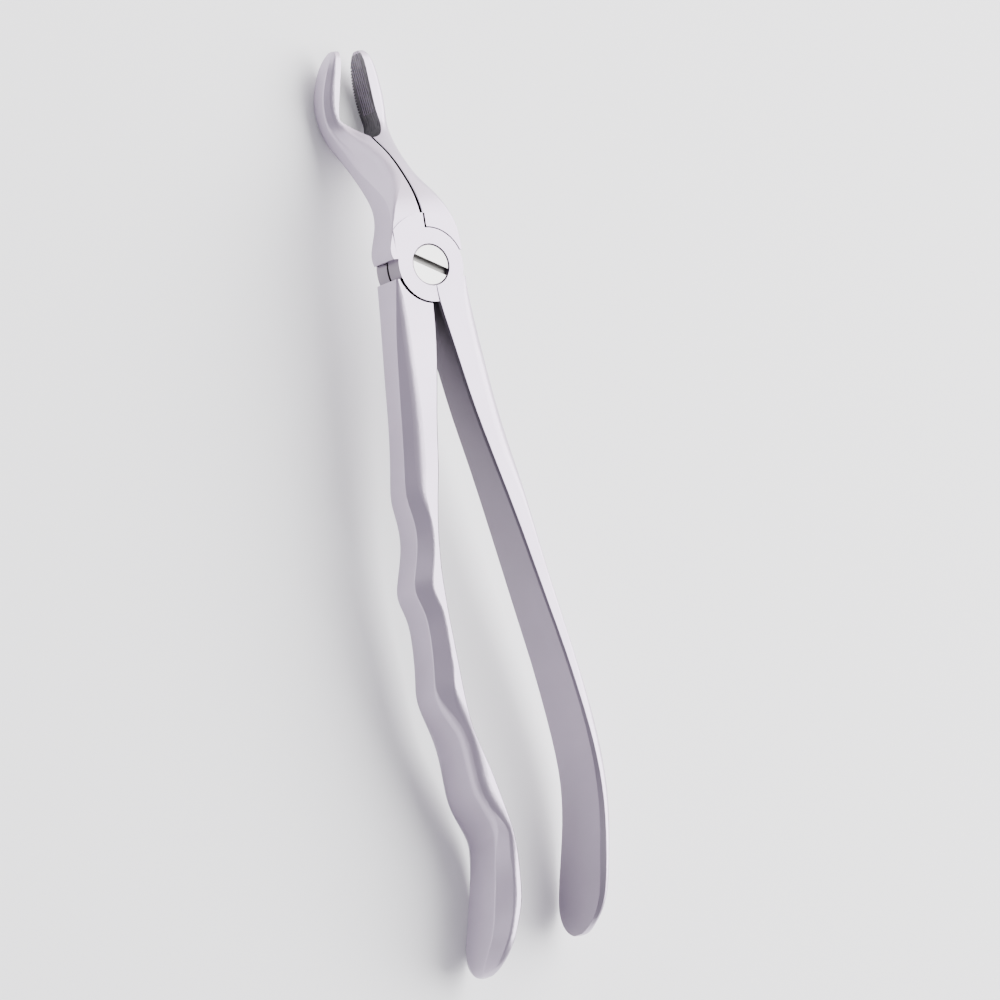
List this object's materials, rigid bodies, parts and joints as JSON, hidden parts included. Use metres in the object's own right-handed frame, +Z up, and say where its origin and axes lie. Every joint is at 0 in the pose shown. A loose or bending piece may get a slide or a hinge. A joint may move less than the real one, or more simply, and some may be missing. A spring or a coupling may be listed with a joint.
{
  "type": "extraction forceps",
  "caption": "Dental extraction forceps with angled serrated beaks, half-lap screw joint, one plain handle and one finger-grooved handle.",
  "frame": {"origin": "centre of the bounding box, on the surface the tool lies on", "axes": "+Y from the handles to the beaks, +Z up, out of the surface, on the side of the screw head"},
  "size_m": [0.0348, 0.1784, 0.0212],
  "materials": {
    "steel_front": "satin",
    "steel_back": "satin",
    "screw": "satin"
  },
  "bodies": {
    "grooved_lever": {"back_lever": "steel_back", "pivot_screw": "screw"},
    "plain_lever": {"front_lever": "steel_front"}
  },
  "joints": [
    {"name": "lever_pivot", "type": "hinge", "parent": "grooved_lever", "child": "plain_lever", "pos_m": [-0.00365, 0.04388, 0.01697], "axis": [0, -0.0695, 0.9976], "range_deg": [0, 24]}
  ]
}
